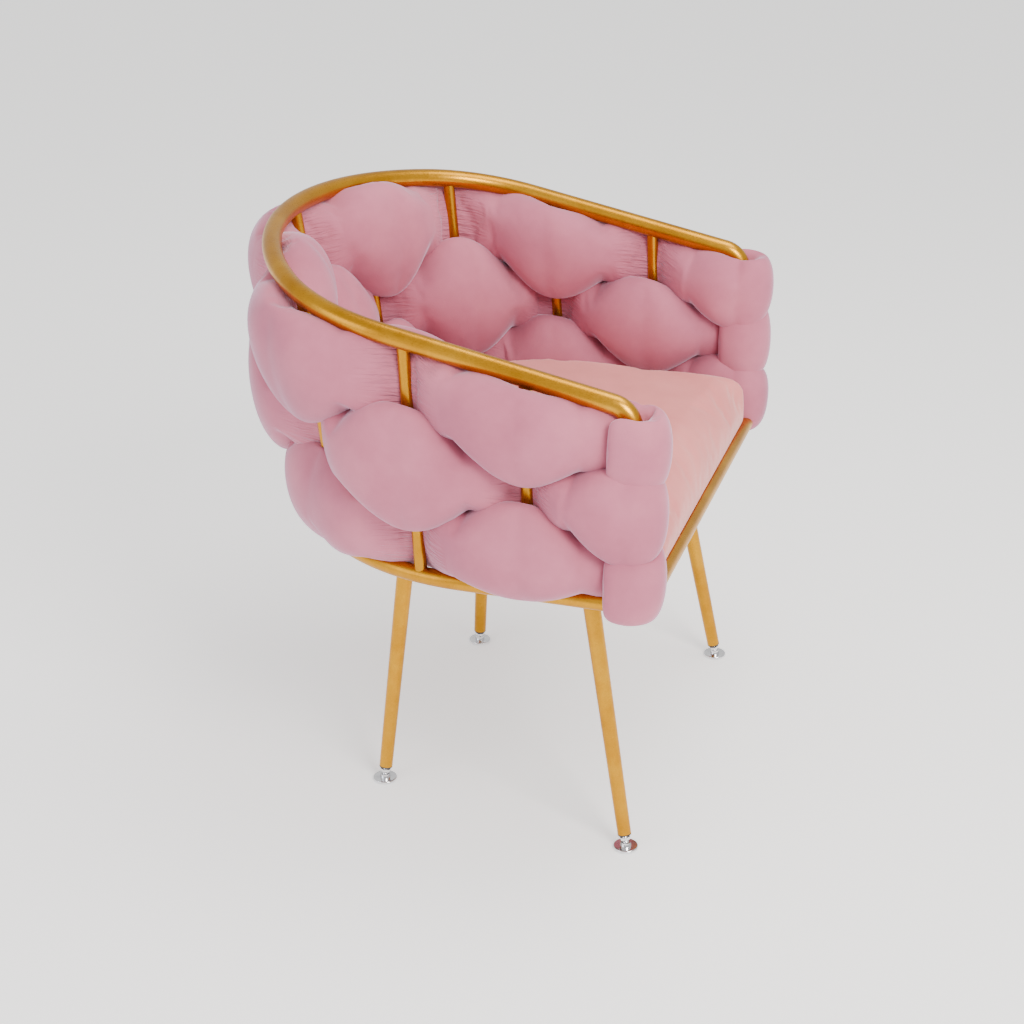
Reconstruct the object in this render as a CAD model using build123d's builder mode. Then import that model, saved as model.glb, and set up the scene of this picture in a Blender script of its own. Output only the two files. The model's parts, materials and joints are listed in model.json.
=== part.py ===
"""Tub chair with a bent-tube frame and woven, padded strips.

Millimetres.  +Z is up, the sitter faces -Y, and X = 0 is the plane of symmetry.
The origin is on the floor, at the bottom centre of the whole chair.
"""

import os
from math import atan2, cos, pi, sin, sqrt

from build123d import *

# ---------------------------------------------------------------- driving dimensions
# seat ring: D-shaped tube that carries the seat
ring_height = 380.0
ring_diameter = 22.0
ring_wall = 1.5
ring_half_width = 320.0
ring_front_y = -292.0
ring_back_y = 224.0
ring_straight_length = 232.0
ring_shoulder_radius = 280.0

# top rail: U-shaped tube, higher at the back, bent down at the front into the two posts
rail_diameter = 25.0
rail_wall = 1.5
rail_side_inset = 9.5
rail_back_y = 278.0
rail_straight_length = 336.0
rail_shoulder_radius = 202.0
rail_front_height = 625.0
rail_back_height = 739.0
rail_bend_radius = 30.0
post_gap = 7.5

# uprights between the ring and the rail
upright_diameter = 16.0
upright_wall = 1.2
bay_count = 10

# cross rails under the seat
cross_rail_width = 40.0
cross_rail_height = 20.0
cross_rail_wall = 2.0

# woven strips
strip_half_thickness = 26.0
strip_half_thickness_crossing = 29.0
strip_half_thickness_front = 18.0
strip_clearance = 1.6
strip_fullness = 0.745
strip_turn_over = 8.0
strip_end_taper = 0.14
sections_per_bay = 6
turn_sections = 6
cap_sections = 4

# seat
cushion_side_gap = 7.4
cushion_thickness = 74.0
cushion_front_overhang = 4.0
cushion_top_fillet = 26.0
cushion_bottom_fillet = 8.0
seat_clearance = 0.5
board_thickness = 12.0
board_margin = 14.0
board_front_gap = 4.0
cover_thickness = 1.0
cover_margin = 6.0

# legs: tapered tubes that splay outwards from the cross rails
leg_top_diameter = 23.0
leg_bottom_diameter = 18.0
leg_wall = 1.5
leg_end_height = 21.0
front_leg_top = (231.0, -198.0)
front_leg_foot = (272.0, -267.0)
back_leg_top = (163.0, 64.0)
back_leg_foot = (209.0, 93.0)
leg_plate_size = (78.0, 56.0)
leg_plate_thickness = 4.0
leg_plate_corner = 8.0

# fasteners
leg_bolt_diameter = 6.0
leg_bolt_spacing = 60.0
leg_bolt_length = 16.0
leg_bolt_head_diameter = 11.0
leg_bolt_head_height = 4.0
weld_nut_diameter = 11.5
weld_nut_height = 6.0
seat_screw_diameter = 6.0
seat_screw_head_diameter = 12.0
seat_screw_head_height = 3.5
seat_screw_positions = (-90.0, 0.0, 90.0)
tee_nut_diameter = 8.0
tee_nut_height = 9.0
hole_clearance = 0.5
thread_clearance = 0.05

# levelling glides
insert_length = 24.0
insert_fit = 0.1
insert_flange = 1.5
stem_diameter = 8.0
stem_engagement = 28.0
collar_across_flats = 13.0
collar_height = 3.5
collar_start = 12.8
neck_diameter = 5.0
ball_diameter = 9.0
ball_clearance = 0.3
ball_centre_height = 7.0
disc_diameter = 33.0
disc_rim_height = 3.0
hub_diameter = 15.0
hub_top_height = 9.0
pad_diameter = 29.0
pad_thickness = 2.0
pad_recess = 1.0

# ---------------------------------------------------------------- derived sizes
ring_radius = ring_diameter / 2
rail_radius = rail_diameter / 2
rail_half_width = ring_half_width - rail_side_inset
upright_radius = upright_diameter / 2
ring_top = ring_height + ring_radius
strip_inner_reach = upright_radius + strip_clearance + 2 * strip_half_thickness
cushion_inset = strip_inner_reach + cushion_side_gap
post_setback = rail_radius + post_gap
post_y = ring_front_y + post_setback
rail_slope = (rail_back_height - rail_front_height) / (rail_back_y - ring_front_y)
cross_rail_top = ring_height + cross_rail_height / 2
cross_rail_bottom = ring_height - cross_rail_height / 2
cover_bottom = cross_rail_top
board_bottom = cover_bottom + cover_thickness
board_top = board_bottom + board_thickness
leg_plate_bottom = cross_rail_bottom - leg_plate_thickness
cross_rail_y = {"front": front_leg_top[1], "back": back_leg_top[1]}
side_sign = {"left": -1, "right": 1}

os.makedirs("parts", exist_ok=True)


def save(part, name):
    """Label a finished piece and write its STEP file."""
    part.label = name
    export_step(part, f"parts/{name}.step")


# ---------------------------------------------------------------- frame centrelines
def rail_height(y):
    """Height of the top rail's centreline above the floor at depth y."""
    return rail_front_height + rail_slope * (y - ring_front_y)


ring_plane = Plane(origin=(0, ring_front_y, ring_height))
rail_plane = Plane(origin=(0, ring_front_y, rail_front_height), x_dir=(1, 0, 0),
                   z_dir=(0, -rail_slope, 1))


def u_line(plane, half_width, depth, straight, shoulder_radius, start=0.0):
    """A U on a plane: straight sides, two shoulder arcs and one wide crown arc between them."""
    rise = depth - straight
    side = half_width - shoulder_radius
    drop = (side**2 - (rise - shoulder_radius) ** 2) / (2 * (rise - shoulder_radius))
    crown_radius = rise + drop
    turn = atan2(drop, side)
    shoulder_end = (crown_radius * cos(turn), straight - drop + crown_radius * sin(turn))
    shoulder_middle = (side + shoulder_radius * cos(turn / 2),
                       straight + shoulder_radius * sin(turn / 2))
    with BuildLine(plane) as line:
        Line((-half_width, start), (-half_width, straight))
        ThreePointArc((-half_width, straight), (-shoulder_middle[0], shoulder_middle[1]),
                      (-shoulder_end[0], shoulder_end[1]))
        ThreePointArc((-shoulder_end[0], shoulder_end[1]), (0, depth), shoulder_end)
        ThreePointArc(shoulder_end, shoulder_middle, (half_width, straight))
        Line((half_width, straight), (half_width, start))
    return line.wires()[0]


ring_depth = ring_back_y - ring_front_y
rail_depth = (rail_back_y - ring_front_y) * sqrt(1 + rail_slope**2)
ring_line = u_line(ring_plane, ring_half_width, ring_depth, ring_straight_length,
                   ring_shoulder_radius)
rail_line = u_line(rail_plane, rail_half_width, rail_depth, rail_straight_length,
                   rail_shoulder_radius)


def station_fractions(station):
    """Fractions of the ring's and rail's lengths at a station: 0 and 10 are the posts."""
    nearest = min(station, bay_count - station)
    fractions = []
    for line in (ring_line, rail_line):
        post = post_setback / line.length
        first_bay = post + (1 / bay_count - post) * nearest
        fraction = first_bay if nearest < 1 else nearest / bay_count
        fractions.append(fraction if station <= bay_count / 2 else 1 - fraction)
    return fractions


def bar_ends(station):
    """The ring and rail centreline points that a bar at this station joins."""
    ring_fraction, rail_fraction = station_fractions(station)
    return ring_line @ ring_fraction, rail_line @ rail_fraction


# ---------------------------------------------------------------- bent tubes
def swept_bar(line, diameter):
    """A round bar along a line."""
    with BuildPart() as bar:
        with BuildSketch(Plane(origin=line @ 0, z_dir=line % 0)):
            Circle(diameter / 2)
        sweep(path=line)
    return bar.part


# the trapezium that the front bar fills, between the two 45 degree mitre planes
mitre_reach = 2 * ring_diameter
with BuildPart() as mitre_block:
    with BuildSketch(Plane.XY.offset(ring_height - ring_diameter)):
        with BuildLine():
            Polyline(
                (-ring_half_width - mitre_reach, ring_front_y - mitre_reach),
                (ring_half_width + mitre_reach, ring_front_y - mitre_reach),
                (ring_half_width - mitre_reach, ring_front_y + mitre_reach),
                (-ring_half_width + mitre_reach, ring_front_y + mitre_reach),
                close=True,
            )
        make_face()
    extrude(amount=2 * ring_diameter)

hoop_line = u_line(ring_plane, ring_half_width, ring_depth, ring_straight_length,
                   ring_shoulder_radius, start=-ring_diameter)
solid_hoop = swept_bar(hoop_line, ring_diameter)
with BuildPart() as seat_hoop:
    add(solid_hoop)
    add(swept_bar(hoop_line, ring_diameter - 2 * ring_wall), mode=Mode.SUBTRACT)
    add(mitre_block.part, mode=Mode.SUBTRACT)
save(seat_hoop.part, "seat_hoop")

with BuildPart() as front_bar:
    with BuildSketch(Plane.YZ.offset(-ring_half_width - ring_diameter)):
        with Locations((ring_front_y, ring_height)):
            Circle(ring_radius)
            Circle(ring_radius - ring_wall, mode=Mode.SUBTRACT)
    extrude(amount=2 * (ring_half_width + ring_diameter))
    add(mitre_block.part, mode=Mode.INTERSECT)
save(front_bar.part, "front_bar")

# ---------------------------------------------------------------- top rail and its two posts
post_feet = {side: Vector(sign * ring_half_width, post_y, ring_height)
             for side, sign in side_sign.items()}
rail_corners = {side: Vector(sign * rail_half_width, post_y, rail_height(post_y))
                for side, sign in side_sign.items()}
bend_start = 2 * rail_bend_radius
rail_arc = u_line(rail_plane, rail_half_width, rail_depth, rail_straight_length,
                  rail_shoulder_radius, start=bend_start + post_setback)
with BuildLine() as rail_path:
    FilletPolyline(post_feet["left"], rail_corners["left"], rail_arc @ 0, radius=rail_bend_radius)
    add(rail_arc)
    FilletPolyline(rail_arc @ 1, rail_corners["right"], post_feet["right"],
                   radius=rail_bend_radius)

solid_rail = swept_bar(rail_path.wires()[0], rail_diameter)
with BuildPart() as top_rail:
    add(solid_rail)
    add(swept_bar(rail_path.wires()[0], rail_diameter - 2 * rail_wall), mode=Mode.SUBTRACT)
    add(solid_hoop, mode=Mode.SUBTRACT)
save(top_rail.part, "top_rail")

# ---------------------------------------------------------------- uprights
upright_names = {}
for index in range(1, bay_count):
    middle = bay_count // 2
    if index == middle:
        upright_names[index] = "upright_back"
    elif index < middle:
        upright_names[index] = f"upright_left_{index}"
    else:
        upright_names[index] = f"upright_right_{bay_count - index}"

for index, name in upright_names.items():
    foot, head = bar_ends(index)
    with BuildPart() as upright:
        with BuildSketch(Plane(origin=foot, z_dir=head - foot)):
            Circle(upright_radius)
            Circle(upright_radius - upright_wall, mode=Mode.SUBTRACT)
        extrude(amount=(head - foot).length)
        add(solid_hoop, mode=Mode.SUBTRACT)
        add(solid_rail, mode=Mode.SUBTRACT)
    save(upright.part, name)

# ---------------------------------------------------------------- cross rails under the seat
seat_screw_clearance = seat_screw_diameter / 2 + hole_clearance / 2
leg_bolt_clearance = leg_bolt_diameter / 2 + hole_clearance / 2
for end, y in cross_rail_y.items():
    leg_x = {"front": front_leg_top[0], "back": back_leg_top[0]}[end]
    with BuildPart() as cross_rail:
        with BuildSketch(Plane.YZ.offset(-ring_half_width)):
            with Locations((y, ring_height)):
                Rectangle(cross_rail_width, cross_rail_height)
                Rectangle(cross_rail_width - 2 * cross_rail_wall,
                          cross_rail_height - 2 * cross_rail_wall, mode=Mode.SUBTRACT)
        extrude(amount=2 * ring_half_width)
        with BuildSketch(Plane.XY.offset(ring_height)):
            for x in seat_screw_positions:
                with Locations((x, y)):
                    Circle(seat_screw_clearance)
        extrude(amount=cross_rail_height, both=True, mode=Mode.SUBTRACT)
        with BuildSketch(Plane.XY.offset(ring_height)):
            for sign in side_sign.values():
                for offset in (-leg_bolt_spacing / 2, leg_bolt_spacing / 2):
                    with Locations((sign * leg_x + offset, y)):
                        Circle(leg_bolt_clearance)
        extrude(amount=-cross_rail_height, mode=Mode.SUBTRACT)
        add(solid_hoop, mode=Mode.SUBTRACT)
    between_sides = cross_rail.part.solids().sort_by_distance((0, y, ring_height))[0]
    save(Part([between_sides]), f"cross_rail_{end}")

# ---------------------------------------------------------------- seat board, cover and cushion
# the seat's outline follows the ring, a fixed distance inside it
def seat_outline(inset, front_y):
    """Closed D-shaped face, inset from the ring's centreline, with its front edge at front_y."""
    u_shape = u_line(Plane.XY.offset(0), ring_half_width - inset, ring_back_y - inset - front_y,
                     ring_straight_length - (front_y - ring_front_y),
                     ring_shoulder_radius - inset)
    with BuildSketch() as outline:
        with BuildLine():
            add(u_shape)
            Line(u_shape @ 1, u_shape @ 0)
        make_face()
    return Pos(0, front_y) * outline.sketch


cushion_bottom = ring_top + seat_clearance
cushion_front_y = ring_front_y - cushion_front_overhang
board_front_y = ring_front_y + ring_radius + board_front_gap
board_inset = cushion_inset + board_margin

with BuildPart() as seat_board:
    with BuildSketch(Plane.XY.offset(board_bottom)):
        add(seat_outline(board_inset, board_front_y))
    extrude(amount=board_thickness)
    with BuildSketch(Plane.XY.offset(board_bottom)):
        for y in cross_rail_y.values():
            for x in seat_screw_positions:
                with Locations((x, y)):
                    Circle(tee_nut_diameter / 2)
    extrude(amount=board_thickness, mode=Mode.SUBTRACT)
save(seat_board.part, "seat_board")

with BuildPart() as dust_cover:
    with BuildSketch(Plane.XY.offset(cover_bottom)):
        add(seat_outline(board_inset + cover_margin, board_front_y + cover_margin))
        for y in cross_rail_y.values():
            for x in seat_screw_positions:
                with Locations((x, y)):
                    Circle(tee_nut_diameter / 2, mode=Mode.SUBTRACT)
    extrude(amount=cover_thickness)
save(dust_cover.part, "dust_cover")

with BuildPart() as seat_cushion:
    with BuildSketch(Plane.XY.offset(cushion_bottom)):
        add(seat_outline(cushion_inset, cushion_front_y))
    extrude(amount=cushion_thickness)
    fillet(seat_cushion.edges().group_by(Axis.Z)[-1], radius=cushion_top_fillet)
    fillet(seat_cushion.edges().group_by(Axis.Z)[0], radius=cushion_bottom_fillet)
    with BuildSketch(Plane.XY.offset(cushion_bottom)):
        add(seat_outline(board_inset - seat_clearance, board_front_y - seat_clearance))
    extrude(amount=board_top + seat_clearance - cushion_bottom, mode=Mode.SUBTRACT)
save(seat_cushion.part, "seat_cushion")

# ---------------------------------------------------------------- seat screws and tee nuts
seat_screw_top = board_top - seat_clearance
with BuildPart() as seat_screws:
    for y in cross_rail_y.values():
        with BuildSketch(Plane.XY.offset(cross_rail_bottom)):
            for x in seat_screw_positions:
                with Locations((x, y)):
                    Circle(seat_screw_diameter / 2)
        extrude(amount=seat_screw_top - cross_rail_bottom)
        with BuildSketch(Plane.XY.offset(cross_rail_bottom)):
            for x in seat_screw_positions:
                with Locations((x, y)):
                    Circle(seat_screw_head_diameter / 2)
        extrude(amount=-seat_screw_head_height)
    fillet(seat_screws.edges().group_by(Axis.Z)[0], radius=seat_screw_head_height / 3)
save(seat_screws.part, "seat_screws")

with BuildPart() as tee_nuts:
    for y in cross_rail_y.values():
        with BuildSketch(Plane.XY.offset(board_top)):
            for x in seat_screw_positions:
                with Locations((x, y)):
                    Circle(tee_nut_diameter / 2)
                    Circle(seat_screw_diameter / 2 + thread_clearance, mode=Mode.SUBTRACT)
        extrude(amount=-tee_nut_height)
save(tee_nuts.part, "tee_nuts")

# ---------------------------------------------------------------- legs and their plates
leg_points = {}
for side, sign in side_sign.items():
    leg_points[f"front_{side}"] = (Vector(sign * front_leg_top[0], front_leg_top[1], leg_plate_bottom),
                                   Vector(sign * front_leg_foot[0], front_leg_foot[1], 0))
    leg_points[f"back_{side}"] = (Vector(sign * back_leg_top[0], back_leg_top[1], leg_plate_bottom),
                                  Vector(sign * back_leg_foot[0], back_leg_foot[1], 0))

for name, (top, foot) in leg_points.items():
    axis = (foot - top).normalized()
    overrun = leg_top_diameter
    length = (foot - top).length - leg_end_height
    start = top - axis * overrun
    growth = (leg_top_diameter - leg_bottom_diameter) / 2 * overrun / length
    top_radius = leg_top_diameter / 2 + growth
    bottom_radius = leg_bottom_diameter / 2
    end_plane = Plane(origin=start + axis * (length + overrun), z_dir=-axis)
    with BuildPart() as leg:
        with BuildSketch(end_plane):
            Circle(bottom_radius)
        with BuildSketch(Plane(origin=start, x_dir=end_plane.x_dir, z_dir=-axis)):
            Circle(top_radius)
        loft(ruled=True)
        with BuildSketch(end_plane):
            Circle(bottom_radius - leg_wall)
        with BuildSketch(Plane(origin=start, x_dir=end_plane.x_dir, z_dir=-axis)):
            Circle(top_radius - leg_wall)
        loft(ruled=True, mode=Mode.SUBTRACT)
        split(bisect_by=Plane.XY.offset(leg_plate_bottom), keep=Keep.BOTTOM)
    save(leg.part, f"leg_{name}")

    with BuildPart() as leg_plate:
        with BuildSketch(Plane.XY.offset(leg_plate_bottom)):
            with Locations((top.X, top.Y)):
                RectangleRounded(leg_plate_size[0], leg_plate_size[1], leg_plate_corner)
            for offset in (-leg_bolt_spacing / 2, leg_bolt_spacing / 2):
                with Locations((top.X + offset, top.Y)):
                    Circle(leg_bolt_clearance, mode=Mode.SUBTRACT)
        extrude(amount=leg_plate_thickness)
    save(leg_plate.part, f"leg_plate_{name}")

bolt_centres = [(top.X + offset, top.Y) for top, foot in leg_points.values()
                for offset in (-leg_bolt_spacing / 2, leg_bolt_spacing / 2)]
with BuildPart() as leg_bolts:
    with BuildSketch(Plane.XY.offset(leg_plate_bottom)):
        with Locations(bolt_centres):
            Circle(leg_bolt_diameter / 2)
    extrude(amount=leg_bolt_length)
    with BuildSketch(Plane.XY.offset(leg_plate_bottom)):
        with Locations(bolt_centres):
            Circle(leg_bolt_head_diameter / 2)
    extrude(amount=-leg_bolt_head_height)
    fillet(leg_bolts.edges().group_by(Axis.Z)[0], radius=leg_bolt_head_height / 3)
save(leg_bolts.part, "leg_bolts")

with BuildPart() as weld_nuts:
    with BuildSketch(Plane.XY.offset(cross_rail_bottom + cross_rail_wall)):
        with Locations(bolt_centres):
            RegularPolygon(weld_nut_diameter / 2, 6)
            Circle(leg_bolt_diameter / 2 + thread_clearance, mode=Mode.SUBTRACT)
    extrude(amount=weld_nut_height)
save(weld_nuts.part, "weld_nuts")

# ---------------------------------------------------------------- levelling glides
# each stem screws up into the leg along the leg's axis; its ball sits in a disc on the floor
disc_bottom = pad_thickness - pad_recess
insert_radius = leg_bottom_diameter / 2 - leg_wall - insert_fit
for name, (top, foot) in leg_points.items():
    up = (top - foot).normalized()
    leg_end = foot + up * leg_end_height
    ball_centre = foot + up * (ball_centre_height / up.Z)
    collar_foot = foot + up * collar_start
    stem_top = leg_end + up * stem_engagement

    with BuildPart() as leg_insert:
        with BuildSketch(Plane(origin=leg_end, z_dir=up)):
            Circle(insert_radius)
        extrude(amount=insert_length)
        with BuildSketch(Plane(origin=leg_end, z_dir=up)):
            Circle(leg_bottom_diameter / 2)
        extrude(amount=-insert_flange)
        with BuildSketch(Plane(origin=leg_end, z_dir=up)):
            Circle(stem_diameter / 2 + thread_clearance)
        extrude(amount=insert_length, both=True, mode=Mode.SUBTRACT)
    save(leg_insert.part, f"leg_insert_{name}")

    with BuildPart() as glide_stem:
        with BuildSketch(Plane(origin=collar_foot, z_dir=up)):
            Circle(stem_diameter / 2)
        extrude(amount=(stem_top - collar_foot).length)
        chamfer(glide_stem.edges().sort_by(Axis.Z)[-1], length=1.0)
        with BuildSketch(Plane(origin=collar_foot, z_dir=up)):
            RegularPolygon(collar_across_flats / 2, 6, major_radius=False)
        extrude(amount=collar_height)
        with BuildSketch(Plane(origin=ball_centre, z_dir=up)):
            Circle(neck_diameter / 2)
        extrude(amount=(collar_foot - ball_centre).length)
        with Locations(ball_centre):
            Sphere(ball_diameter / 2)
    save(glide_stem.part, f"glide_stem_{name}")

    with BuildPart() as glide_disc:
        with BuildSketch(Plane.XY.offset(disc_bottom)):
            with Locations((ball_centre.X, ball_centre.Y)):
                Circle(disc_diameter / 2)
        extrude(amount=disc_rim_height)
        fillet(glide_disc.edges().group_by(Axis.Z)[-1], radius=disc_rim_height / 2)
        with BuildSketch(Plane.XY.offset(disc_bottom)):
            with Locations((ball_centre.X, ball_centre.Y)):
                Circle(hub_diameter / 2)
        extrude(amount=hub_top_height - disc_bottom, taper=6)
        with Locations(ball_centre):
            Sphere(ball_diameter / 2 + ball_clearance, mode=Mode.SUBTRACT)
        with BuildSketch(Plane.XY.offset(disc_bottom)):
            with Locations((ball_centre.X, ball_centre.Y)):
                Circle(pad_diameter / 2)
        extrude(amount=pad_recess, mode=Mode.SUBTRACT)
    save(glide_disc.part, f"glide_disc_{name}")

    with BuildPart() as glide_pad:
        with BuildSketch(Plane.XY):
            with Locations((ball_centre.X, ball_centre.Y)):
                Circle(pad_diameter / 2)
        extrude(amount=pad_thickness)
    save(glide_pad.part, f"glide_pad_{name}")

# ---------------------------------------------------------------- woven padded strips
# Three strips run round the frame one above the other.  Each passes in front of one bar and
# behind the next, swells at each bar, and turns back round the post at both ends.
row_names = ("bottom", "middle", "top")
post_ease = 0.25


def bar_frame(station):
    """Foot, head, bar direction and outward direction of the frame at a station."""
    foot, head = bar_ends(station)
    step = 0.02
    before = bar_ends(max(station - step, 0))
    after = bar_ends(min(station + step, bay_count))
    along = (after[0] + after[1]) - (before[0] + before[1])
    bar = (head - foot).normalized()
    return foot, head, bar, bar.cross(along).normalized()


def strip_section(station, row):
    """Centre, bar direction, outward direction, half thickness and half height of a strip."""
    foot, head, bar, outward = bar_frame(station)
    nearest = min(station, bay_count - station)
    swell = cos(pi * station) ** 2
    at_front = nearest < 0.5
    edge = strip_half_thickness_front if at_front else strip_half_thickness
    radius = rail_radius if at_front else upright_radius
    half_thickness = strip_half_thickness_crossing + (edge - strip_half_thickness_crossing) * swell

    clear_of_post = min(nearest / post_ease, 1)
    low = ring_radius + strip_clearance
    high = (head - foot).length + rail_radius - clear_of_post * (2 * rail_radius + strip_clearance)
    pitch = (high - low) / len(row_names)
    fullness = 0.5 + (strip_fullness - 0.5) * swell * min(nearest, 1)
    half_height = pitch * fullness - strip_clearance

    side = cos(pi * station) * (1 if row == 1 else -1)
    reach = radius + strip_clearance + edge
    centre = foot + bar * (low + pitch * (row + 0.5)) + outward * (reach * side)
    return centre, bar, outward, half_thickness, half_height


def woven_sections(row):
    """Section planes and half sizes along the woven length of a strip, post to post."""
    step = 0.02
    sections = []
    for index in range(bay_count * sections_per_bay + 1):
        station = index / sections_per_bay
        centre, bar, outward, half_thickness, half_height = strip_section(station, row)
        if station in (0, bay_count):
            along = outward.cross(bar)
        else:
            along = strip_section(station + step, row)[0] - strip_section(station - step, row)[0]
            along = along - bar * along.dot(bar)
        plane = Plane(origin=centre, x_dir=bar, z_dir=along)
        sections.append((plane, half_height, half_thickness))
    return sections


def end_sections(station, row):
    """Sections from a post on: round the front of the post and back to a rounded end."""
    centre, bar, outward, half_thickness, half_height = strip_section(station, row)
    foot = bar_ends(station)[0]
    axis_point = foot + bar * (centre - foot).dot(bar)
    radial = centre - axis_point
    reach = radial.length
    forward = bar.cross(outward) * (-1 if station else 1)
    direction = 1 if station else -1
    sections = []
    for index in range(1, turn_sections + 1):
        angle = pi * index / turn_sections
        along = forward * cos(angle) - radial.normalized() * sin(angle)
        origin = axis_point + radial * cos(angle) + forward * (reach * sin(angle))
        plane = Plane(origin=origin, x_dir=bar, z_dir=along * direction)
        taper = 1 - strip_end_taper * index / turn_sections
        sections.append((plane, half_height * taper, half_thickness))
    end_height = half_height * (1 - strip_end_taper)
    for index in range(cap_sections):
        angle = pi / 2 * index / cap_sections
        distance = strip_turn_over + half_thickness * sin(angle)
        plane = Plane(origin=axis_point - radial - forward * distance, x_dir=bar,
                      z_dir=forward * -direction)
        sections.append((plane, end_height * (0.4 + 0.6 * cos(angle)), half_thickness * cos(angle)))
    return sections


for row, row_name in enumerate(row_names):
    start = list(reversed(end_sections(0, row)))
    finish = end_sections(bay_count, row)
    with BuildPart() as woven_strip:
        for plane, half_height, half_thickness in start + woven_sections(row) + finish:
            with BuildSketch(plane):
                Ellipse(half_height, half_thickness)
        loft(ruled=True)
    save(woven_strip.part, f"woven_strip_{row_name}")
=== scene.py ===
"""Looks of the tub chair: velvet strips woven round a gold tube frame, on a pale floor."""

import json
from math import atan2, cos, pi, radians, sin, sqrt

import bmesh
import bpy
import numpy as np
from mathutils import Matrix, Vector


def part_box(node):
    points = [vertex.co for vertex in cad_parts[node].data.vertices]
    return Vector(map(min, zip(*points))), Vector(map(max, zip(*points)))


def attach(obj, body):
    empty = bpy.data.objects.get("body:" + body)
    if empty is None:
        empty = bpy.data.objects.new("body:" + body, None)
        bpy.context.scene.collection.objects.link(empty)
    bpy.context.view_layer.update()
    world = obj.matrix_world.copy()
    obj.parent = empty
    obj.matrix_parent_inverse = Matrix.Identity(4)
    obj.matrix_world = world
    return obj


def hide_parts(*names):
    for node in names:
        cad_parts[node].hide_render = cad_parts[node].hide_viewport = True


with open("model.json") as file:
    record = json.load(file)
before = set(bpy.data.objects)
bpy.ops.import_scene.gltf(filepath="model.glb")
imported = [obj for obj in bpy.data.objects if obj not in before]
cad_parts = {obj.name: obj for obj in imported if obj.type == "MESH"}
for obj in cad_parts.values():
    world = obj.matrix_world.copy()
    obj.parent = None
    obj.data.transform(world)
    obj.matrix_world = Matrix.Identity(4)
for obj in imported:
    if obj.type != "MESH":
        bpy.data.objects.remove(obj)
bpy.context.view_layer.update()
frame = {"nodes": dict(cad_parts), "record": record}
scene = bpy.context.scene

# ---------------------------------------------------------------- frame sizes, in metres
RING_RADIUS = 0.011
RAIL_RADIUS = 0.0125
RING_STRAIGHT = 0.232
RING_SHOULDER = 0.280
RAIL_STRAIGHT = 0.336
RAIL_SHOULDER = 0.202
POST_SETBACK = 0.020
RAIL_FRONT_HEIGHT = 0.625
BAY_COUNT = 10                  # bays between the posts, counted by stations 0 to 10
STATION_STEP = 0.02             # for directions taken between two stations
ROWS = ("bottom", "middle", "top")

ring_low, ring_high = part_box("seat_hoop")
rail_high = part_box("top_rail")[1]
RING_HEIGHT = (ring_low.z + ring_high.z) / 2
RING_HALF_WIDTH = ring_high.x - RING_RADIUS
RING_BACK = ring_high.y - RING_RADIUS
RING_FRONT = ring_low.y + RING_RADIUS
RAIL_HALF_WIDTH = 0.3105
RAIL_BACK = rail_high.y - RAIL_RADIUS
RAIL_SLOPE = (rail_high.z - RAIL_RADIUS - RAIL_FRONT_HEIGHT) / (RAIL_BACK - RING_FRONT)


# ---------------------------------------------------------------- centrelines of the frame
def u_point(fraction, half_width, depth, straight, shoulder):
    """Point of a U at a fraction of its length, from the left front to the right front."""
    rise = depth - straight
    side = half_width - shoulder
    drop = (side**2 - (rise - shoulder) ** 2) / (2 * (rise - shoulder))
    crown = rise + drop
    turn = atan2(drop, side)
    half_length = straight + shoulder * turn + crown * (pi / 2 - turn)
    sign = -1 if fraction <= 0.5 else 1
    run = 2 * half_length * min(fraction, 1 - fraction)
    if run < straight:
        return sign * half_width, run
    run -= straight
    if run < shoulder * turn:
        angle = run / shoulder
        return sign * (side + shoulder * cos(angle)), straight + shoulder * sin(angle)
    angle = turn + (run - shoulder * turn) / crown
    return sign * crown * cos(angle), straight - drop + crown * sin(angle)


def u_length(half_width, depth, straight, shoulder):
    """Whole length of a U."""
    rise = depth - straight
    side = half_width - shoulder
    drop = (side**2 - (rise - shoulder) ** 2) / (2 * (rise - shoulder))
    turn = atan2(drop, side)
    return 2 * (straight + shoulder * turn + (rise + drop) * (pi / 2 - turn))


RING_U = (RING_HALF_WIDTH, RING_BACK - RING_FRONT, RING_STRAIGHT, RING_SHOULDER)
RAIL_GROWTH = sqrt(1 + RAIL_SLOPE**2)
RAIL_U = (RAIL_HALF_WIDTH, (RAIL_BACK - RING_FRONT) * RAIL_GROWTH, RAIL_STRAIGHT, RAIL_SHOULDER)


def bar_ends(station):
    """Ring and rail points that a bar at this station joins; 0 and 10 are the posts."""
    nearest = min(station, BAY_COUNT - station)
    ends = []
    for size in (RING_U, RAIL_U):
        post = POST_SETBACK / u_length(*size)
        fraction = post + (1 / BAY_COUNT - post) * nearest if nearest < 1 else nearest / BAY_COUNT
        ends.append(u_point(fraction if station <= BAY_COUNT / 2 else 1 - fraction, *size))
    (ring_x, ring_y), (rail_x, rail_y) = ends
    foot = np.array([ring_x, RING_FRONT + ring_y, RING_HEIGHT])
    rail_y = rail_y / RAIL_GROWTH
    head = np.array([rail_x, RING_FRONT + rail_y, RAIL_FRONT_HEIGHT + RAIL_SLOPE * rail_y])
    return foot, head


def unit(vector):
    """The same direction with length 1."""
    return vector / np.linalg.norm(vector)


def blend(start, end, share):
    """Value between start and end."""
    return start + (end - start) * share


def smooth(value):
    """Ease from 0 to 1."""
    value = min(max(value, 0), 1)
    return value * value * (3 - 2 * value)


def bar_frame(station):
    """Foot, head, bar direction and outward direction of the frame at a station."""
    foot, head = bar_ends(station)
    before = bar_ends(max(station - STATION_STEP, 0))
    after = bar_ends(min(station + STATION_STEP, BAY_COUNT))
    along = after[0] + after[1] - before[0] - before[1]
    bar = unit(head - foot)
    return foot, head, bar, unit(np.cross(bar, along))


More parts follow.
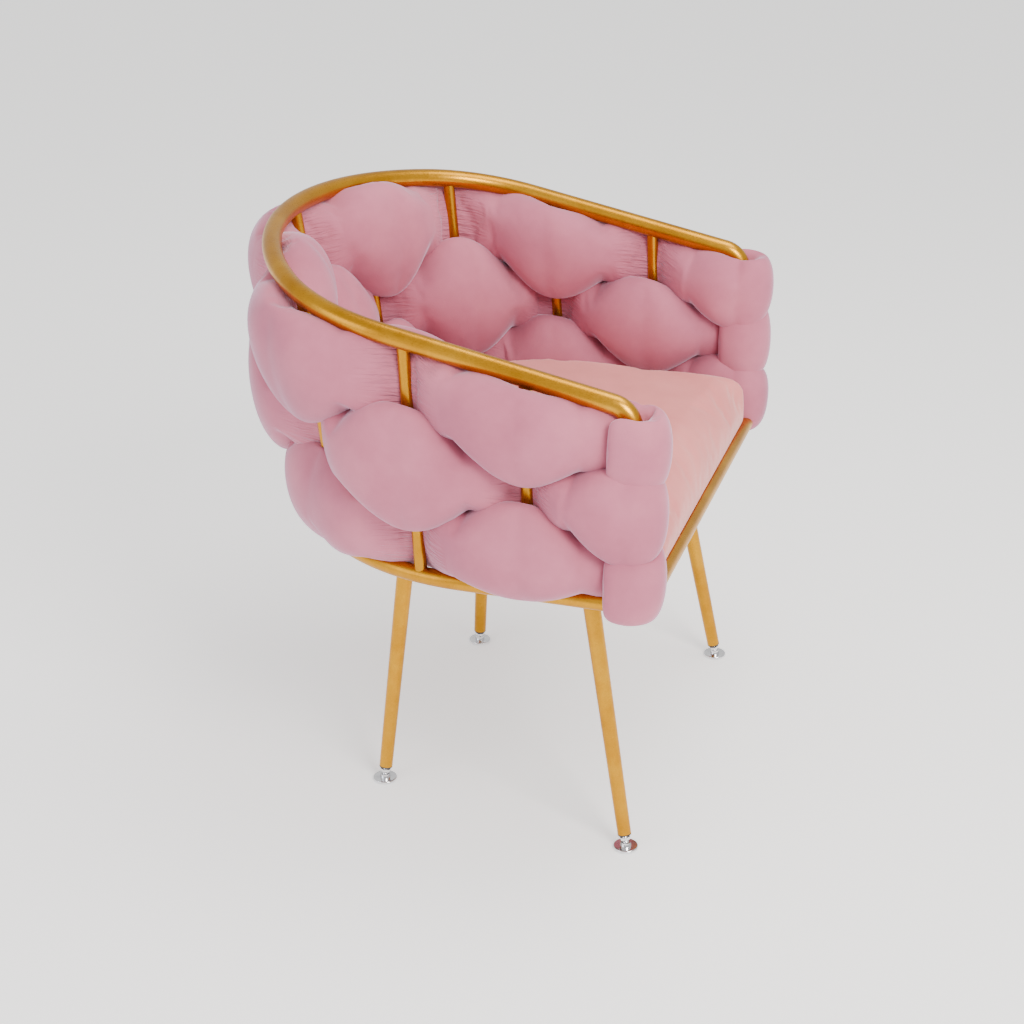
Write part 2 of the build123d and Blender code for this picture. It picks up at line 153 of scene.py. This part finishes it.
# ---------------------------------------------------------------- camera
CAMERA_TARGET = Vector((0.0025, -0.0254, 0.3273))
CAMERA_DISTANCE = 2.8086
CAMERA_AZIMUTH = radians(-72.486)
CAMERA_ELEVATION = radians(24.87)
CAMERA_ROLL = radians(-0.17)
CAMERA_LENS = 71.32             # in mm, on a sensor 36 mm wide
CAMERA_SENSOR = 36


def make_camera():
    """A long lens at eye height, on the chair's -X side and a little to its front."""
    back = Vector((sin(CAMERA_AZIMUTH) * cos(CAMERA_ELEVATION),
                   -cos(CAMERA_AZIMUTH) * cos(CAMERA_ELEVATION), sin(CAMERA_ELEVATION)))
    camera = bpy.data.objects.new("camera", bpy.data.cameras.new("camera"))
    camera.data.lens = CAMERA_LENS
    camera.data.sensor_width = CAMERA_SENSOR
    right = Vector((0, 0, 1)).cross(back).normalized()
    up = back.cross(right)
    tilt = Matrix.Rotation(CAMERA_ROLL, 3, back)
    axes = Matrix((tilt @ right, tilt @ up, back)).transposed().to_4x4()
    camera.matrix_world = Matrix.Translation(CAMERA_TARGET + back * CAMERA_DISTANCE) @ axes
    scene.collection.objects.link(camera)
    scene.camera = camera


def make_light(name, location, target, size, power, colour):
    """A square soft box aimed at a point."""
    light = bpy.data.objects.new(name, bpy.data.lights.new(name, "AREA"))
    light.data.size = size
    light.data.energy = power
    light.data.color = colour
    light.location = location
    light.rotation_euler = (Vector(target) - Vector(location)).to_track_quat("-Z", "Y").to_euler()
    scene.collection.objects.link(light)


FLOOR_SIZE = 30
FLOOR_COLOUR = (0.93, 0.93, 0.925, 1)
FLOOR_GLOW = 0.5
WORLD_COLOUR = (1, 0.985, 0.97, 1)


def make_studio():
    """Pale floor, white surroundings and three soft boxes."""
    world = bpy.data.worlds.new("studio")
    world.use_nodes = True
    background = world.node_tree.nodes["Background"]
    background.inputs["Color"].default_value = WORLD_COLOUR
    background.inputs["Strength"].default_value = 1.0
    scene.world = world
    bpy.ops.mesh.primitive_plane_add(size=FLOOR_SIZE)
    floor = bpy.context.object
    floor.name = "studio_floor"
    material = bpy.data.materials.new("floor_paper")
    material.use_nodes = True
    shader = material.node_tree.nodes["Principled BSDF"]
    shader.inputs["Base Color"].default_value = FLOOR_COLOUR
    shader.inputs["Roughness"].default_value = 0.9
    shader.inputs["Emission Color"].default_value = (1, 1, 1, 1)
    shader.inputs["Emission Strength"].default_value = FLOOR_GLOW
    floor.data.materials.append(material)
    make_light("key", (-1.7, -1.9, 2.3), (0, 0, 0.5), 1.2, 90, (1, 0.97, 0.94))
    make_light("fill", (-2.2, 1.6, 1.3), (0, 0, 0.5), 1.6, 24, (0.90, 0.92, 1))
    make_light("top", (0.3, -0.6, 2.8), (0, 0, 0.4), 1.4, 34, (1, 0.97, 0.93))


# ---------------------------------------------------------------- materials
NOISE_LOW, NOISE_HIGH = 0.3, 0.7      # most of a noise texture's values lie between these


class Nodes:
    """A short way to build a node material."""

    def __init__(self, name):
        self.material = bpy.data.materials.new(name)
        self.material.use_nodes = True
        self.tree = self.material.node_tree
        self.shader = self.tree.nodes["Principled BSDF"]
        self.position = self.add("ShaderNodeTexCoord").outputs["Object"]

    def add(self, kind, **inputs):
        """New node, with values for its inputs."""
        node = self.tree.nodes.new(kind)
        for key, value in inputs.items():
            node.inputs[key.replace("_", " ")].default_value = value
        return node

    def link(self, source, target):
        self.tree.links.new(source, target)

    def noise(self, scale, detail=3, roughness=0.5, stretch=None):
        """Noise over the object's own coordinates, finer along the axes with a larger stretch."""
        node = self.add("ShaderNodeTexNoise", Scale=scale, Detail=detail, Roughness=roughness)
        source = self.position
        if stretch:
            mapping = self.add("ShaderNodeMapping")
            mapping.inputs["Scale"].default_value = stretch
            self.link(source, mapping.inputs["Vector"])
            source = mapping.outputs["Vector"]
        self.link(source, node.inputs["Vector"])
        return node.outputs["Fac"]

    def ramp(self, source, stops):
        """Colour from a value, through (place, colour) stops."""
        node = self.add("ShaderNodeValToRGB")
        for index, (place, colour) in enumerate(stops):
            if index > 1:
                node.color_ramp.elements.new(place)
            node.color_ramp.elements[index].position = place
            node.color_ramp.elements[index].color = (*colour, 1)
        self.link(source, node.inputs["Fac"])
        return node.outputs["Color"]

    def range(self, source, low, high):
        """Noise spread over a range of values."""
        node = self.add("ShaderNodeMapRange")
        node.inputs["From Min"].default_value = NOISE_LOW
        node.inputs["From Max"].default_value = NOISE_HIGH
        node.inputs["To Min"].default_value = low
        node.inputs["To Max"].default_value = high
        self.link(source, node.inputs["Value"])
        return node.outputs["Result"]

    def bump(self, source, strength, distance, after=None):
        """Normal from a height, on top of the one before it."""
        node = self.add("ShaderNodeBump", Strength=strength, Distance=distance)
        self.link(source, node.inputs["Height"])
        if after:
            self.link(after, node.inputs["Normal"])
        return node.outputs["Normal"]


FOLD_STRETCH = (2.2, 17, 17)          # finer round the strip than along it
FOLD_HEIGHT = 0.0070


def pinch_folds(n):
    """Fine folds that fan out from where a strip is pinched between its neighbours."""
    along = n.add("ShaderNodeAttribute")
    along.attribute_name = "fold"
    stretch = n.add("ShaderNodeMapping")
    stretch.inputs["Scale"].default_value = FOLD_STRETCH
    n.link(along.outputs["Vector"], stretch.inputs["Vector"])
    folds = n.add("ShaderNodeTexNoise", Scale=1.0, Detail=2.5, Roughness=0.55, Distortion=0.4)
    n.link(stretch.outputs["Vector"], folds.inputs["Vector"])
    pinch = n.add("ShaderNodeAttribute")
    pinch.attribute_name = "pinch"
    height = n.add("ShaderNodeMath")
    height.operation = "MULTIPLY"
    n.link(folds.outputs["Fac"], height.inputs[0])
    n.link(pinch.outputs["Fac"], height.inputs[1])
    return n.bump(height.outputs["Value"], 1.0, FOLD_HEIGHT)


def velvet(name, dark, middle, light, sheen, folded=False):
    """Short-pile velvet: brushed patches, a fine pile and a pale sheen at grazing angles."""
    n = Nodes(name)
    nap = n.noise(9, detail=4, roughness=0.6)
    pile = n.noise(1500, detail=2)
    weave = n.noise(420, detail=2, stretch=(1, 1, 2.2))
    n.link(n.ramp(nap, [(0.3, dark), (0.5, middle), (0.7, light)]), n.shader.inputs["Base Color"])
    n.link(n.range(nap, 0.78, 0.92), n.shader.inputs["Roughness"])
    n.shader.inputs["Sheen Weight"].default_value = 0.7
    n.shader.inputs["Sheen Roughness"].default_value = 0.35
    n.shader.inputs["Sheen Tint"].default_value = (*sheen, 1)
    n.shader.inputs["Specular IOR Level"].default_value = 0.15
    coarse = n.bump(weave, 0.35, 0.0006, pinch_folds(n) if folded else None)
    n.link(n.bump(pile, 0.30, 0.0003, coarse), n.shader.inputs["Normal"])
    return n.material


def gold(name):
    """Satin gold plating with fine brushing, faint handling marks and duller patches."""
    n = Nodes(name)
    patches = n.noise(14, detail=5, roughness=0.65)
    brushing = n.noise(260, detail=3, stretch=(1, 1, 8))
    colours = [(0.30, (0.42, 0.180, 0.006)), (0.5, (0.51, 0.235, 0.010)),
               (0.72, (0.60, 0.300, 0.018))]
    n.link(n.ramp(patches, colours), n.shader.inputs["Base Color"])
    n.link(n.range(brushing, 0.24, 0.40), n.shader.inputs["Roughness"])
    n.shader.inputs["Metallic"].default_value = 1.0
    n.link(n.bump(brushing, 0.12, 0.0002), n.shader.inputs["Normal"])
    return n.material


def metal(name, dark, light, smooth, rough):
    """Plated or bare steel with fine scratches."""
    n = Nodes(name)
    marks = n.noise(60, detail=6, roughness=0.7)
    scratches = n.noise(700, detail=2, stretch=(1, 6, 1))
    n.link(n.ramp(marks, [(0.35, dark), (0.65, light)]), n.shader.inputs["Base Color"])
    n.link(n.range(scratches, smooth, rough), n.shader.inputs["Roughness"])
    n.shader.inputs["Metallic"].default_value = 1.0
    n.link(n.bump(scratches, 0.08, 0.0001), n.shader.inputs["Normal"])
    return n.material


def plastic(name, dark, light):
    """Matte moulded plastic with a fine spark texture."""
    n = Nodes(name)
    grain = n.noise(900, detail=3)
    clouds = n.noise(40, detail=4)
    n.link(n.ramp(clouds, [(0.35, dark), (0.65, light)]), n.shader.inputs["Base Color"])
    n.link(n.range(grain, 0.5, 0.7), n.shader.inputs["Roughness"])
    n.link(n.bump(grain, 0.25, 0.0002), n.shader.inputs["Normal"])
    return n.material


def plywood(name):
    """Birch ply with long grain along X."""
    n = Nodes(name)
    grain = n.noise(22, detail=6, roughness=0.65, stretch=(1, 14, 14))
    colours = [(0.32, (0.42, 0.27, 0.14)), (0.5, (0.60, 0.43, 0.25)), (0.68, (0.70, 0.53, 0.34))]
    n.link(n.ramp(grain, colours), n.shader.inputs["Base Color"])
    n.link(n.range(grain, 0.5, 0.7), n.shader.inputs["Roughness"])
    n.link(n.bump(grain, 0.2, 0.0003), n.shader.inputs["Normal"])
    return n.material


def nonwoven(name):
    """Black spun-bonded cloth with a pressed dot pattern."""
    n = Nodes(name)
    dots = n.add("ShaderNodeTexVoronoi", Scale=520)
    n.link(n.position, dots.inputs["Vector"])
    fibres = n.noise(800, detail=4)
    n.link(n.ramp(fibres, [(0.3, (0.012, 0.012, 0.013)), (0.7, (0.045, 0.045, 0.05))]),
           n.shader.inputs["Base Color"])
    n.link(n.range(fibres, 0.75, 0.95), n.shader.inputs["Roughness"])
    n.link(n.bump(dots.outputs["Distance"], 0.4, 0.0003), n.shader.inputs["Normal"])
    return n.material


MATERIALS = {
    "gold_metal": gold("satin_gold"),
    "frame_steel": gold("gold_powder_coat"),
    "zinc_steel": metal("zinc_plate", (0.42, 0.42, 0.44), (0.62, 0.62, 0.63), 0.28, 0.45),
    "chrome": metal("polished_chrome", (0.62, 0.62, 0.64), (0.80, 0.80, 0.82), 0.05, 0.12),
    "insert_plastic": plastic("black_nylon", (0.010, 0.010, 0.010), (0.030, 0.030, 0.030)),
    "pad_plastic": plastic("black_pad", (0.014, 0.014, 0.014), (0.040, 0.040, 0.040)),
    "plywood": plywood("birch_ply"),
    "dust_fabric": nonwoven("black_nonwoven"),
    "strip_velvet": velvet("pink_velvet", (0.43, 0.125, 0.185), (0.49, 0.150, 0.215),
                           (0.55, 0.18, 0.245), (0.80, 0.80, 1.0), folded=True),
    "seat_velvet": velvet("peach_velvet", (0.60, 0.175, 0.165), (0.66, 0.20, 0.19),
                          (0.72, 0.235, 0.22), (1.0, 0.86, 0.82)),
}


def finish_cad_nodes():
    """Every CAD node gets the material of its record slot."""
    slots = {part["node"]: part["material_slot"] for part in frame["record"]["subparts"]}
    for name, node in frame["nodes"].items():
        node.data.materials.clear()
        node.data.materials.append(MATERIALS[slots[name]])


# ---------------------------------------------------------------- woven strips
OUTER_REACH = 0.0260            # from a bar's axis to the middle of a pillow outside it
INNER_REACH = 0.0310            # and inside it
POST_REACH = 0.0258             # and at the front posts
BOTTOM_REACH = 0.90             # the bottom strip's share of the outer reach
BACK_BOTTOM_REACH = 0.30        # and at the back, where it hardly stands out

BAR_THICKNESS = 0.0255          # half thickness where a strip passes a bar
BAY_THICKNESS = 0.0390          # half way between two bars
FRONT_BAY_THINNER = 0.004
POST_THICKNESS = 0.0128
BAY_ROUNDNESS = 0.42            # lower is a fuller rise from the bar to the bay
INSIDE_THICKER = 0.12           # shares more or less thick and full than the rest
END_THICKER = 0.08
BACK_BOTTOM_THINNER = 0.16
BACK_BOTTOM_LOWER = 0.45

STRIP_GAP = 0.0010              # from the ring and the rail
FRONT_DROP = 0.016              # how far the strips' front ends reach below and above that
FRONT_RISE = 0.010
ROW_OVERLAP = 1.02
STRIP_FULLNESS = 0.68           # how much taller than its row a pillow is, over a bar
FRONT_FULLNESS = 0.42           # the same at the front posts
RAIL_BASE_FULLNESS = 0.10       # the same up against the rail, all along it
RAIL_OUTSIDE_FULLNESS = 0.08    # and added to that where a pillow is outside the bars
RAIL_INSIDE_FULLNESS = 0.17     # or inside them
RING_BASE_FULLNESS = 0.05       # the same down against the ring, all along it
RING_FULLNESS = 0.20            # and added to that over a bar
BULGE_POWER = 0.45              # lower is a longer pillow

STRIP_ROUNDNESS = 2.12          # power of the cross-section's superellipse
STRIP_TURN_OVER = 0.004
TURN_EASE = 1.4                 # round a post, the last height is reached 1 / this of the way
TURN_RINGS = 1.4                # how many times closer the sections are there
LAST_UP = (0.60, 0.80, 0.92)    # height of the last pillow for each row, as a share
LAST_DOWN = (0.96, 0.80, 0.70)
CAP_RINGS = 9
CAP_LENGTH = 1.3                # length of the rounded end, in half thicknesses
CAP_TALL = 0.55                 # the end's height as a share of the strip's
STRIP_LEAN = 0.6                # how far a section turns to face across the strip's own line
PINCH_REACH = 0.42              # how far from a bar the folds run, in bays

STRIP_RUN = 1.75                # length of a strip between the posts, in metres
RING_STEP = 0.0060              # between two of its sections
AROUND = 56                     # points of a section


def strip_section(station, row):
    """Centre, bar and outward directions, half thickness, heights up and down, and side."""
    foot, head, bar, outward = bar_frame(station)
    nearest = min(station, BAY_COUNT - station)
    wave = cos(pi * station)
    side = wave * (1 if row == 1 else -1)
    inside = (1 - side) / 2
    at_front = max(1 - 2 * nearest, 0)      # 1 at a post, 0 from half a bay on
    at_post = max(1 - 4 * nearest, 0)       # the same over a quarter of a bay
    toward_back = smooth(nearest - 1.5)

    edge = blend(BAR_THICKNESS, POST_THICKNESS, at_post)
    bay = BAY_THICKNESS if nearest > 0.5 else BAY_THICKNESS - FRONT_BAY_THINNER
    thickness = blend(edge, bay, (sin(pi * station) ** 2 + 0.01) ** BAY_ROUNDNESS)
    thickness *= 1 + INSIDE_THICKER * inside * (1 - at_front)
    reach = blend(blend(OUTER_REACH, INNER_REACH, inside), POST_REACH, at_front)

    low = RING_RADIUS + STRIP_GAP - FRONT_DROP * at_front
    high = np.linalg.norm(head - foot) - RAIL_RADIUS - STRIP_GAP + FRONT_RISE * at_front
    pitch = (high - low) / len(ROWS)
    bulge = (wave * wave + 0.005) ** BULGE_POWER
    full = blend(STRIP_FULLNESS, FRONT_FULLNESS, smooth(1 - nearest)) * bulge
    at_rail = blend(RAIL_OUTSIDE_FULLNESS, RAIL_INSIDE_FULLNESS, inside)
    at_rail *= bulge**0.6 * (1 - at_front)
    if row == 0:
        thickness *= 1 - BACK_BOTTOM_THINNER * toward_back
        shallow = (BOTTOM_REACH - 1) * (1 - at_front)
        shallow += (BACK_BOTTOM_REACH - BOTTOM_REACH) * toward_back
        reach *= 1 + shallow * (1 - inside)
        full *= 1 - BACK_BOTTOM_LOWER * toward_back * (1 - inside)
    above = RAIL_BASE_FULLNESS + at_rail if row == 2 else full
    below = RING_BASE_FULLNESS + RING_FULLNESS * bulge if row == 0 else full
    up = pitch / 2 * (ROW_OVERLAP + above)
    down = pitch / 2 * (ROW_OVERLAP + below)
    centre = foot + bar * (low + pitch * (row + 0.5)) + outward * (reach * side)
    return centre, bar, outward, thickness, (up, down), side


def strip_end(row, station):
    """Rings of a strip's front end, turned round the post and closed with a rounded cap."""
    centre, bar, outward, thickness, (up, down), side = strip_section(station, row)
    foot = bar_ends(station)[0]
    axis = foot + bar * np.dot(centre - foot, bar)
    radial = centre - axis
    reach = np.linalg.norm(radial)
    forward = np.cross(bar, outward) * (-1 if station else 1)
    last_up, last_down = up * LAST_UP[row], down * LAST_DOWN[row]
    rings = []
    count = int(pi * reach / RING_STEP * TURN_RINGS)
    for index in range(1, count + 1):
        angle = pi * index / count
        share = smooth(angle / pi * TURN_EASE)
        sizes = (blend(up, last_up, share), blend(down, last_down, share))
        spoke = radial * cos(angle) + forward * (reach * sin(angle))
        full = thickness * (1 + END_THICKER * sin(angle) ** 2)
        rings.append((axis + spoke, bar, unit(spoke) * np.sign(side), full, sizes, 0))
    cap_start = axis - radial
    for index in range(1, CAP_RINGS + 1):
        angle = pi / 2 * index / (CAP_RINGS + 0.3)
        turned = STRIP_TURN_OVER * min(index / 3, 1)
        away = forward * -(turned + thickness * CAP_LENGTH * sin(angle))
        squash = cos(angle) ** 0.6
        tall = CAP_TALL + (1 - CAP_TALL) * squash
        rings.append((cap_start + away, bar, -unit(radial) * np.sign(side), thickness * squash,
                      (last_up * tall, last_down * tall), 0))
    return rings


def strip_rings(row):
    """Cross-sections of a strip from one end to the other.

    Each is its centre, bar direction, outward direction, half thickness, heights up and down,
    and how hard it is pinched: above 0 on the outward face, below 0 on the inward face.
    """
    count = int(STRIP_RUN / RING_STEP)
    middle = []
    for index in range(count + 1):
        station = BAY_COUNT * index / count
        centre, bar, outward, thickness, sizes, side = strip_section(station, row)
        if 0 < index < count:
            ahead = strip_section(min(station + 0.01, BAY_COUNT), row)[0]
            behind = strip_section(max(station - 0.01, 0), row)[0]
            along = ahead - behind
            across = unit(np.cross(bar, along - bar * np.dot(along, bar)))
            outward = unit(outward + STRIP_LEAN * across)
        off_bar = abs(station - round(station))
        at_bar = 0.5 < station < BAY_COUNT - 0.5
        pinch = -np.sign(side) * max(1 - off_bar / PINCH_REACH, 0) if at_bar else 0
        middle.append((centre, bar, outward, thickness, sizes, pinch))
    return list(reversed(strip_end(row, 0))) + middle + strip_end(row, BAY_COUNT)


def loft_mesh(name, points):
    """Closed mesh through a list of equal rings, closed by a fan at each end."""
    count, around = points.shape[:2]
    vertices = points.reshape(-1, 3).tolist()
    vertices += [points[0].mean(0).tolist(), points[-1].mean(0).tolist()]
    faces = []
    for i in range(count - 1):
        for j in range(around):
            k = (j + 1) % around
            here, there = i * around, (i + 1) * around
            faces.append((here + j, there + j, there + k, here + k))
    first, last = count * around, count * around + 1
    for j in range(around):
        k = (j + 1) % around
        faces.append((first, j, k))
        faces.append((last, (count - 1) * around + k, (count - 1) * around + j))
    mesh = bpy.data.meshes.new(name)
    mesh.from_pydata(vertices, [], faces)
    fix = bmesh.new()
    fix.from_mesh(mesh)
    bmesh.ops.recalc_face_normals(fix, faces=fix.faces)
    fix.to_mesh(mesh)
    fix.free()
    piece = bpy.data.objects.new(name, mesh)
    scene.collection.objects.link(piece)
    return piece


def coordinates(mesh):
    """Vertex positions of a mesh as an array."""
    values = np.empty(3 * len(mesh.vertices))
    mesh.vertices.foreach_get("co", values)
    return values.reshape(-1, 3)


CLOTH_FRAMES = 20


def inflate(piece, hold, pressure, growth, cap):
    """Let a cushion's cloth fill out under pressure, held where hold is high, by at most cap."""
    before = coordinates(piece.data)
    group = piece.vertex_groups.new(name="hold")
    for index, weight in enumerate(hold):
        group.add([index], float(weight), "REPLACE")
    modifier = piece.modifiers.new("cloth", "CLOTH")
    settings = modifier.settings
    settings.quality = 5
    settings.mass = 0.25
    settings.tension_stiffness = 12
    settings.compression_stiffness = 8
    settings.shear_stiffness = 6
    settings.bending_stiffness = 0.15
    settings.air_damping = 4
    settings.use_pressure = True
    settings.uniform_pressure_force = pressure
    settings.shrink_min = -growth
    settings.vertex_group_mass = "hold"
    settings.pin_stiffness = 1.0
    settings.effector_weights.gravity = 0
    modifier.collision_settings.use_collision = False
    modifier.point_cache.frame_start = 1
    modifier.point_cache.frame_end = CLOTH_FRAMES
    for number in range(1, CLOTH_FRAMES + 1):
        scene.frame_set(number)
    shown = piece.evaluated_get(bpy.context.evaluated_depsgraph_get())
    after = coordinates(shown.data)
    piece.modifiers.remove(modifier)
    scene.frame_set(1)
    moved = after - before
    length = np.linalg.norm(moved, axis=1, keepdims=True)
    moved *= np.minimum(cap / np.maximum(length, 1e-9), 1)
    piece.data.vertices.foreach_set("co", (before + moved).ravel())
    piece.data.update()


def soften(piece):
    """Smooth shading and one subdivision."""
    piece.data.polygons.foreach_set("use_smooth", [True] * len(piece.data.polygons))
    modifier = piece.modifiers.new("soft", "SUBSURF")
    modifier.levels = 1
    modifier.render_levels = 1


def mark_folds(mesh, rings, angle):
    """Note on every vertex its place on the strip and how near it is to a pinch.

    The last two vertices, in the middle of the strip's ends, come after all the rings.
    """
    places = [(ring * RING_STEP * 10, cos(a), sin(a)) for ring in range(len(rings)) for a in angle]
    pinches = [max(pinch * sin(a), 0) ** 0.7 for *_, pinch in rings for a in angle]
    mesh.attributes.new("fold", "FLOAT_VECTOR", "POINT")
    mesh.attributes.new("pinch", "FLOAT", "POINT")
    places += [places[0], places[-1]]
    mesh.attributes["fold"].data.foreach_set("vector", np.array(places).ravel())
    mesh.attributes["pinch"].data.foreach_set("value", pinches + [0, 0])


def make_strip(row):
    """One woven strip as a closed mesh."""
    rings = strip_rings(row)
    angle = np.linspace(0, 2 * pi, AROUND, endpoint=False)
    power = 2 / STRIP_ROUNDNESS
    tall = np.sign(np.cos(angle)) * np.abs(np.cos(angle)) ** power
    out = np.sign(np.sin(angle)) * np.abs(np.sin(angle)) ** power
    points, hold = [], []
    for centre, bar, outward, thickness, (up, down), pinch in rings:
        height = np.where(tall > 0, tall * up, tall * down)
        points.append(centre + np.outer(height, bar) + np.outer(out * thickness, outward))
        hold += np.clip((pinch * out - 0.6) * 4, 0, 1).tolist()
    strip = loft_mesh(f"velvet_strip_{ROWS[row]}", np.array(points))
    hold += [1, 1]
    mark_folds(strip.data, rings, angle)
    inflate(strip, hold, pressure=4, growth=0.03, cap=0.014)
    soften(strip)
    strip.data.materials.append(MATERIALS["strip_velvet"])
    return strip


# ---------------------------------------------------------------- seat cushion
CUSHION_CROWN = 0.014           # how much the middle stands above the CAD cushion
CUSHION_SPREAD = 0.009          # and each side beyond it
CUSHION_MESH = 0.006            # size of its faces


def make_cushion():
    """The seat cushion: a full, crowned D-shaped pad on the board."""
    low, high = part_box("seat_cushion")
    cushion = bpy.data.objects.new("velvet_seat", frame["nodes"]["seat_cushion"].data.copy())
    cushion.matrix_world = frame["nodes"]["seat_cushion"].matrix_world.copy()
    scene.collection.objects.link(cushion)
    cushion.data.materials.clear()
    remesh = cushion.modifiers.new("remesh", "REMESH")
    remesh.mode = "VOXEL"
    remesh.voxel_size = CUSHION_MESH
    shown = cushion.evaluated_get(bpy.context.evaluated_depsgraph_get())
    even = bpy.data.meshes.new_from_object(shown)
    cushion.modifiers.clear()
    even.transform(cushion.matrix_world)
    cushion.matrix_world = Matrix.Identity(4)
    cushion.data = even
    points = coordinates(even)
    middle = (low + high) / 2
    half = (high - low) / 2
    level = (points[:, 2] - low.z) / (high.z - low.z)
    spread = ((points[:, 0] - middle.x) / half.x) ** 2 + ((points[:, 1] - middle.y) / half.y) ** 2
    points[:, 2] += CUSHION_CROWN * np.clip(level, 0, 1) ** 2 * (1 - np.clip(spread, 0, 1)) ** 1.2
    points[:, 0] *= 1 + CUSHION_SPREAD / half.x
    points[:, 1] += 1.4 * CUSHION_SPREAD * np.clip((points[:, 1] - middle.y) / half.y, 0, 1)
    even.vertices.foreach_set("co", points.ravel())
    even.update()
    hold = np.clip(1 - (level - 0.10) / 0.15, 0, 1)
    inflate(cushion, hold, pressure=2.5, growth=0.004, cap=0.010)
    soften(cushion)
    cushion.data.materials.append(MATERIALS["seat_velvet"])
    return cushion


# ---------------------------------------------------------------- the chair
make_camera()
make_studio()
finish_cad_nodes()
for row, row_name in enumerate(ROWS):
    strip = make_strip(row)
    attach(strip, "frame")
    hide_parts(f"woven_strip_{row_name}")
cushion = make_cushion()
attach(cushion, "frame")
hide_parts("seat_cushion")
